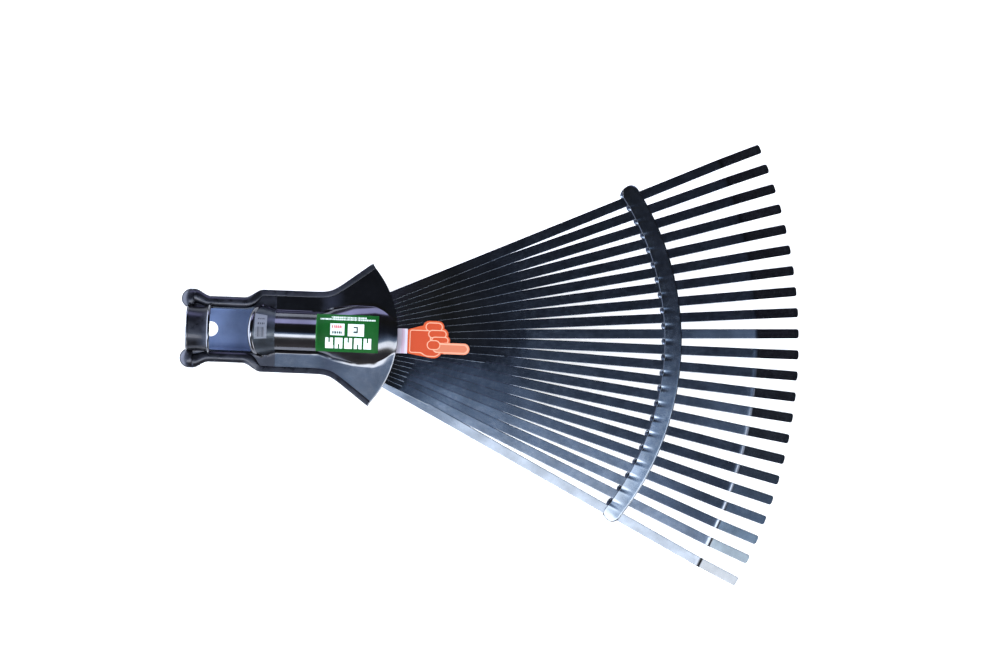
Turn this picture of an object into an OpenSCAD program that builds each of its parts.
// Head of a steel leaf rake: a two-shell pressed socket and fan casing, spring tines
// that spread from it, and a curved cross-brace that spaces them.
// +X runs along the handle axis towards the tine tips, +Z is the side seen in use,
// and the origin is on the socket axis at the outer end of its full bore.

/* [Handle socket] */
// Diameter of the wooden handle that the socket takes
handle_diameter = 31.75; // [29:0.05:33]
// Play between the handle and the socket wall, on each side
handle_play = 0.125; // [0.05:0.005:0.4]
// Length of the full-round part of the socket, from the origin to the fan
socket_length = 34; // [28:1:38]
// Length of the flared mouth ahead of the full-round part
mouth_length = 19; // [17:1:22]
// How much the mouth opens out at its tip, on the radius
mouth_flare = 4.4; // [2:0.2:5]
// Diameter of the hole through the bottom of the trough
trough_hole_diameter = 12; // [6:0.2:13]

/* [Casing] */
// Thickness of the pressed sheet
sheet = 1.2; // [1:0.1:1.5]
// Half the casing's width along the neck
neck_half_width = 26.4; // [25.5:0.1:28]
// Half the casing's width along the socket
socket_half_width = 33; // [31:0.5:35]
// Sideways spread of the fan's edges per unit of length
flare_slope = 0.76; // [0.7:0.01:0.82]
// Radius of the curved lip that the tines leave from
lip_radius = 83.2; // [80:0.2:86]
// Distance between the fan's two inner faces
fan_gap = 5; // [4.8:0.1:6]
// Height of the crown above the fan's plates at the lip
crown_height = 2.4; // [2:0.2:5]
// Width of the hemmed seam
hem_width = 4.8; // [4:0.2:6]

/* [Tines] */
// Width of a tine
tine_width = 7.7; // [7:0.1:7.9]
// Thickness of a tine
tine_thickness = 0.9; // [0.8:0.05:1]
// Angle between neighbouring tines
tine_pitch = 2.435; // [2.42:0.005:2.46]
// Distance from the fan's apex to the start of the bend
bend_start = 364; // [355:1:372]
// Angle by which the tips turn down
bend_angle = 40; // [35:1:55]
// Radius of the bend at the middle of the sheet
bend_radius = 9; // [7:0.5:12]
// Length of the straight tip beyond the bend
tip_length = 44.5; // [36:0.5:50]

/* [Brace] */
// Radius of the brace's curve
brace_radius = 219.6; // [215:0.5:225]
// Width of the brace across its two leaves
brace_width = 15.5; // [14:0.5:17]

/* [Hidden] */
tine_count = 22;
bore_radius = handle_diameter / 2 + handle_play;
tube_radius = bore_radius + sheet;
seam_play = 0.05;
mouth_slope = mouth_flare / (mouth_length - 1);

// The neck: the open trough, and the strap that closes it at the handle end
neck_end = -70;
strap_length = 17;
trough_hole_x = -53.8;
mouth_set_back = 9.5;
trough_half_width = 16.6;
trough_corner = 4;
mouth_base = -1;
trough_end = mouth_base + sheet;
strap_bead = 1.1;

// The rounded lobes at the neck's two outer corners
lobe_x = -68.5;
lobe_y = 23.8;
lobe_radius = 8;
lobe_dome = 9.5;

// The fan, drawn about the centre of its lip arc
lip_centre_x = 14.4;
flare_x = 43.4;
flare_softness = 3;
step_x = socket_length + 6;
plate_top = fan_gap / 2 + sheet;
crown_radius = 50;
crown_shoulder_x = 46;
crown_shoulder_radius = 27;
crown_shoulder_height = 10.2;
crown_brow_x = 79;
crown_brow_height = 6.1;
crown_end = lip_centre_x + lip_radius + 2.4;

// The tines, drawn about the point that their middle lines meet at
apex = [17.4, -1.7];
fan_skew = -1.4;
root_radius = 52;
roll_end = 215;
roll_fade = 185;
roll_gap = 0.22;
length_step = 0.22;
last_tine_lean = 0.4;
bend_steps = 12;
tip_corner = 2.2;
rad = PI / 180;
pitch_per_radius = tine_pitch * rad;

// The brace, drawn about its own centre on the middle line of the fan
brace_offset = 80.2;
brace_leaf = 1.25;
brace_bump = 1.95;
brace_bead = 1.7;
brace_high_end = 0.6;
brace_low_end = -3.6;
slot_play = 0.35;
slot_half_height = 0.62;

// The root bar that the inner ends of the tines butt against
root_bar_width = 4.2;
root_bar_half_height = 2.35;

// Labels and the hand sticker
label_thickness = 0.2;
label_start = 32.8;
label_end = 82.4;
label_low_y = -14.4;
label_high_y = 15.2;
hand_z = 1.95;
hand_thickness = 0.35;

big = 200;

function tine_name(i) = str("tine_", i < 10 ? "0" : "", i);

// ---- outline of the casing, seen from above ----

function smooth(u) = let (v = min(1, max(0, u))) v * v * (3 - 2 * v);
function soft_ramp(x) = flare_softness * ln(1 + exp((x - flare_x) / flare_softness));

function half_width(x) =
    neck_half_width
    + (lobe_y + lobe_radius - neck_half_width) * smooth((-53 - x) / 13)
    + (socket_half_width - neck_half_width) * smooth((x + 26) / 15)
    + flare_slope * soft_ramp(x);

// Half width of the outline drawn a distance d inside the edge
function inset_half_width(x, d) =
    let (slope = half_width(x + 0.5) - half_width(x - 0.5))
    half_width(x) - d * sqrt(1 + slope * slope);

outline_stations = concat(
    [for (x = [lobe_x:2.5:-50]) x],
    [for (x = [-26:1.5:-11]) x],
    [for (x = [socket_length:1.5:56]) x],
    [crown_end]);

module outline(d = 0) {
    upper = [for (x = outline_stations) [x, inset_half_width(x, d)]];
    lower = [for (k = [len(upper) - 1:-1:0]) [upper[k][0], -upper[k][1]]];
    polygon(concat(upper, lower));
    translate([neck_end + d, -lobe_y])
        square([lobe_x - neck_end, 2 * lobe_y]);
    for (s = [-1, 1])
        translate([lobe_x, s * lobe_y])
            circle(r = lobe_radius - d, $fn = 64);
}

// A flat plate with the casing's outline, between two heights and two stations
module plate(z0, z1, d = 0, x0 = -big, x1 = big) {
    translate([0, 0, z0])
        linear_extrude(height = z1 - z0)
            intersection() {
                outline(d);
                translate([x0, -big]) square([x1 - x0, 2 * big]);
            }
}

// The part of the outline between the edge and a line d inside it
module rim_plate(z0, z1, d, x0, x1) {
    difference() {
        plate(z0, z1, 0, x0, x1);
        translate([0, 0, z0 - 1])
            linear_extrude(height = z1 - z0 + 2)
                outline(d);
    }
}

module along_x(x) {
    translate([x, 0, 0]) rotate([0, 90, 0]) children();
}

// ---- bodies of revolution about the handle axis ----

// Half of a turned shape: points are [x, radius]
module half_turned(points) {
    rotate([0, 90, 0])
        rotate([0, 0, 90])
            rotate_extrude(angle = 180, $fn = 96)
                polygon([for (p = points) [p[1], p[0]]]);
}

module tube_outside(flared) {
    half_turned([
        [neck_end, 0], [neck_end, tube_radius],
        [socket_length, tube_radius], [socket_length, 0]]);
    if (flared)
        half_turned([
            [-mouth_length, 0], [-mouth_length, tube_radius + mouth_flare],
            [mouth_base, tube_radius], [mouth_base, 0]]);
}

// A thin slice of the crown at station x: the arc of the given radius that tops out at a height
module crown_slice(x, radius, top, grow) {
    intersection() {
        translate([0, 0, top - radius])
            along_x(x)
                cylinder(r = radius + grow, h = 0.01, $fn = 128);
        translate([0, -big, 0]) cube([big, 2 * big, big]);
    }
}

// The widening, flattening crown from the socket to the lip
module crown(grow) {
    hull() {
        along_x(socket_length - 1)
            cylinder(r = tube_radius - 0.1 + grow, h = 0.01, $fn = 32);
        crown_slice(crown_shoulder_x, crown_shoulder_radius, plate_top + crown_shoulder_height, grow);
        crown_slice(crown_brow_x, crown_radius, plate_top + crown_brow_height, grow);
        crown_slice(crown_end, crown_radius, plate_top + crown_height, grow);
    }
}

module lip_cut(play = 0) {
    translate([lip_centre_x, 0, -big / 2])
        difference() {
            translate([30, -big, 0]) cube([big, 2 * big, big]);
            translate([0, 0, -1])
                cylinder(r = lip_radius - play, h = big + 2, $fn = 240);
        }
}

// Cross-section of the open trough, drawn with the seam at y = 0 and the bottom below it
module trough_section(grow) {
    side = trough_half_width + grow;
    deep = bore_radius + 0.1 + grow;
    r = trough_corner + grow;
    polygon(concat(
        [[side, 1], [-side, 1]],
        [for (a = [180:15:270]) [r - side + r * cos(a), r - deep + r * sin(a)]],
        [for (a = [270:15:360]) [side - r + r * cos(a), r - deep + r * sin(a)]]));
}

module trough(grow, x0, x1) {
    translate([x0, 0, 0])
        rotate([90, 0, 90])
            linear_extrude(height = x1 - x0)
                trough_section(grow);
}

// Everything that is hollow inside one shell, for the half above the seam
module shell_hollow(flared) {
    along_x(neck_end - 5)
        cylinder(r = bore_radius, h = socket_length - neck_end + 5, $fn = 96);
    if (flared)
        along_x(-mouth_length - 8)
            cylinder(r1 = bore_radius + mouth_slope * (mouth_length + 8 + mouth_base),
                     r2 = bore_radius, h = mouth_length + 8 + mouth_base, $fn = 96);
    crown(-sheet);
    translate([0, 0, -fan_gap / 2])
        linear_extrude(height = fan_gap)
            intersection() {
                outline(sheet + 0.1);
                translate([step_x + sheet, -big]) square([big, 2 * big]);
            }
}

// The half shell above the seam, before its mouth or its hem is made
module half_shell(edge, flared) {
    difference() {
        union() {
            tube_outside(flared);
            crown(0);
            plate(seam_play, sheet + seam_play, edge, -big, step_x + sheet);
            plate(seam_play, plate_top, edge, step_x, step_x + sheet);
            plate(fan_gap / 2, plate_top, edge, step_x, big);
        }
        shell_hollow(flared);
        translate([-big, -big, -big]) cube([2 * big, 2 * big, big + seam_play]);
        lip_cut();
    }
}

// A low dome that rounds one of the neck's lobes
module lobe_domes() {
    for (s = [-1, 1])
        intersection() {
            translate([lobe_x, s * lobe_y, sheet + 3.6 - lobe_dome])
                sphere(r = lobe_dome, $fn = 64);
            translate([lobe_x, s * lobe_y, sheet / 2])
                cylinder(r = lobe_radius - 0.3, h = 10, $fn = 64);
        }
}

// ---- the casing's shells ----

module upper_shell() {
    color("#23262b")
    difference() {
        union() {
            half_shell(sheet + 0.05, true);
            difference() {
                union() {
                    lobe_domes();
                    for (x = [neck_end + 1.6, neck_end + strap_length - 1.4])
                        intersection() {
                            along_x(x)
                                rotate_extrude($fn = 96)
                                    translate([tube_radius + 0.2, 0])
                                        circle(r = strap_bead, $fn = 24);
                            translate([-big, -big, sheet / 2]) cube(2 * big);
                        }
                }
                along_x(neck_end - 5)
                    cylinder(r = bore_radius + 0.4, h = 40, $fn = 96);
            }
        }
        // the window between the strap and the mouth, with the mouth cut at a slant
        rotate([90, 0, 0])
            translate([0, 0, -big / 2])
                linear_extrude(height = big)
                    polygon([
                        [neck_end + strap_length, sheet + seam_play],
                        [mouth_set_back - mouth_length, sheet + seam_play],
                        [mouth_set_back - mouth_length - 20, 40],
                        [neck_end + strap_length, 40]]);
    }
}

module lower_shell() {
    color("#2b2f36")
    union() {
        difference() {
            union() {
                mirror([0, 0, 1]) half_shell(0, false);
                mirror([0, 0, 1]) lobe_domes();
                trough(sheet, neck_end, trough_end);
            }
            trough(0, neck_end - 1, trough_end - sheet);
            along_x(neck_end - 5)
                cylinder(r = bore_radius, h = socket_length - neck_end, $fn = 96);
            translate([-big, -big, -seam_play]) cube(2 * big);
            translate([trough_hole_x, 0, -40])
                cylinder(d = trough_hole_diameter, h = 40, $fn = 64);
        }
        // the hem folded up and over the upper shell's edge
        difference() {
            union() {
                rim_plate(-seam_play - sheet, 2 * sheet + 0.15, sheet, -58, step_x + sheet);
                rim_plate(sheet + 0.15, 2 * sheet + 0.15, hem_width, -58, step_x + sheet);
                rim_plate(-plate_top, plate_top + 0.1 + sheet, sheet, step_x, big);
                rim_plate(plate_top + 0.1, plate_top + 0.1 + sheet, hem_width, step_x, big);
            }
            lip_cut();
        }
    }
}

// ---- tines ----

function tine_angle(i) =
    fan_skew + ((tine_count + 1) / 2 - i) * tine_pitch
    - (i == tine_count ? last_tine_lean : 0);

// Roll that keeps neighbouring tines clear where they are closer than their width, with
// the edge towards +Y lowest
function tine_roll(r) =
    -asin((tine_thickness + roll_gap) / (r * pitch_per_radius))
    * (1 - smooth((r - roll_fade) / (roll_end - roll_fade)));

roll_stations = [root_radius, 56, 61, 67, 75, 85, 98, 114, 135, 160, roll_fade, 195, 205, roll_end];

// Cross-sections along a tine: [distance from the apex, height, pitch, roll, half width]
function tine_sections(reach) =
    let (w = tine_width / 2,
         leg_x = reach + bend_radius * sin(bend_angle),
         leg_z = bend_radius * (cos(bend_angle) - 1))
    concat(
        [for (r = roll_stations) [r, 0, 0, tine_roll(r), w]],
        [for (k = [0:bend_steps]) let (b = bend_angle * k / bend_steps)
            [reach + bend_radius * sin(b), bend_radius * (cos(b) - 1), b, 0, w]],
        [for (a = [0:18:90]) let (s = tip_length - tip_corner * (1 - sin(a)))
            [leg_x + s * cos(bend_angle), leg_z - s * sin(bend_angle), bend_angle, 0,
             w - tip_corner * (1 - cos(a))]]);

module tine(i) {
    t = tine_thickness / 2;
    sections = tine_sections(bend_start + length_step * (i - (tine_count + 1) / 2));
    n = len(sections);
    points = [
        for (s = sections, c = [[-1, -t], [1, -t], [1, t], [-1, t]])
            let (y = c[0] * s[4] * cos(s[3]) - c[1] * sin(s[3]),
                 up = c[0] * s[4] * sin(s[3]) + c[1] * cos(s[3]))
            [s[0] + up * sin(s[2]), y, s[1] + up * cos(s[2])]];
    sides = [
        for (k = [0:n - 2], j = [0:3]) let (a = 4 * k + j, b = 4 * k + (j + 1) % 4)
            each [[a, b + 4, b], [a, a + 4, b + 4]]];
    ends = [[0, 1, 2, 3], [for (j = [3:-1:0]) 4 * (n - 1) + j]];
    color(i > 17 ? "#8fa0b4" : "#2a2e35")
        translate([apex[0], apex[1], 0])
            rotate([0, 0, tine_angle(i)])
                polyhedron(points = points, faces = concat(sides, ends));
}

// Curved bar inside the casing that the inner ends of the tines butt against
module root_bar() {
    spread = (tine_count - 1) / 2 * tine_pitch + 2.2;
    color("#3a3d42")
    translate([apex[0], apex[1], -root_bar_half_height])
        rotate([0, 0, fan_skew - spread])
            rotate_extrude(angle = 2 * spread, $fn = 240)
                translate([root_radius - 0.1 - root_bar_width, 0])
                    square([root_bar_width, 2 * root_bar_half_height]);
}

// ---- cross-brace ----

// Distance from the fan's apex to the brace's curve along a tine at angle a from the middle line
function brace_reach(a) =
    brace_offset * cos(a)
    + sqrt(brace_radius * brace_radius - pow(brace_offset * sin(a), 2));

// Angle about the brace's own centre of the point on its curve that lies at angle a from the apex
function brace_turn(a) =
    asin(brace_reach(a) * sin(a) / brace_radius);

module along_tine(i) {
    translate([apex[0], apex[1], 0])
        rotate([0, 0, tine_angle(i)])
            children();
}

module cross_brace() {
    half = brace_width / 2;
    // the middles of the round ends, measured past the outer edges of the outer tines
    function past(d) = (tine_width / 2 + d) / brace_radius / rad;
    high = brace_turn(tine_angle(1) - fan_skew) + past(brace_high_end);
    low = brace_turn(tine_angle(tine_count) - fan_skew) - past(brace_low_end);
    color("#30353d")
    difference() {
        union() {
            translate([apex[0], apex[1], 0])
                rotate([0, 0, fan_skew])
                    translate([brace_offset, 0, 0]) {
                        // two leaves pressed together
                        rotate([0, 0, low])
                            translate([0, 0, -brace_leaf])
                                rotate_extrude(angle = high - low, $fn = 360)
                                    translate([brace_radius - half, 0])
                                        square([brace_width - brace_bead, 2 * brace_leaf]);
                        // the rounded fold that joins them
                        rotate([0, 0, low])
                            rotate_extrude(angle = high - low, $fn = 360)
                                translate([brace_radius + half - brace_bead, 0])
                                    circle(r = brace_bead, $fn = 32);
                        // round ends
                        for (a = [low, high])
                            rotate([0, 0, a])
                                translate([brace_radius - 0.5, 0, -brace_leaf])
                                    cylinder(r = half - 1, h = 2 * brace_leaf, $fn = 64);
                    }
            // the raised channel over each tine
            for (i = [1:tine_count])
                along_tine(i)
                    translate([brace_reach(tine_angle(i) - fan_skew) - half - 0.8,
                               -tine_width / 2 - 1.3, -brace_bump])
                        cube([brace_width - 2.4, tine_width + 2.6, 2 * brace_bump]);
        }
        for (i = [1:tine_count])
            along_tine(i)
                translate([320, -tine_width / 2 - slot_play, -slot_half_height])
                    cube([90, tine_width + 2 * slot_play, 2 * slot_half_height]);
    }
}

// ---- labels and the hand sticker ----

// Thin sheet that follows the crown
module product_label() {
    color("#1e8a3c")
    difference() {
        intersection() {
            crown(label_thickness + 0.05);
            translate([label_start + 1.6, label_low_y, 4])
                cube([label_end - label_start - 1.6, label_high_y - label_low_y, 30]);
        }
        crown(0.05);
    }
}

module barcode_label() {
    near = -15.8;
    far = -6.2;
    function wall(x) = tube_radius + mouth_slope * (mouth_base - x);
    color("#a9adb3")
    rotate([0, 90, 0])
        rotate([0, 0, 180 - 41])
            rotate_extrude(angle = 59, $fn = 96)
                polygon([
                    [wall(near) + 0.05, near], [wall(near) + 0.25, near],
                    [wall(far) + 0.25, far], [wall(far) + 0.05, far]]);
}

// Card cut to the outline of a pointing hand: cuff, palm, curled fingers, first finger, thumb
module hand_outline() {
    translate([-2, -13.7]) square([9, 19.8]);
    hull() {
        for (y = [-11.7, 4.1])
            translate([9, y]) circle(r = 2, $fn = 32);
        translate([28, -9.5]) circle(r = 7.3, $fn = 32);
        translate([26, 6]) circle(r = 5, $fn = 32);
    }
    // curled fingers: [start, end, height, radius]
    for (f = [[24, 31.3, 8.2, 4.8], [26, 35, 2.6, 4.6], [28, 37.2, -2.2, 3.9]])
        hull()
            for (x = [f[0], f[1]])
                translate([x, f[2]]) circle(r = f[3], $fn = 32);
    hull()
        for (x = [30, 52.3])
            translate([x, -8.6]) circle(r = 4.5, $fn = 32);
}

module hand_sticker() {
    color("#e4521e")
    translate([lip_centre_x + lip_radius + 0.8, 0, hand_z])
        linear_extrude(height = hand_thickness)
            hand_outline();
}

upper_shell();
lower_shell();
root_bar();
cross_brace();
for (i = [1:tine_count])
    tine(i);
product_label();
barcode_label();
hand_sticker();
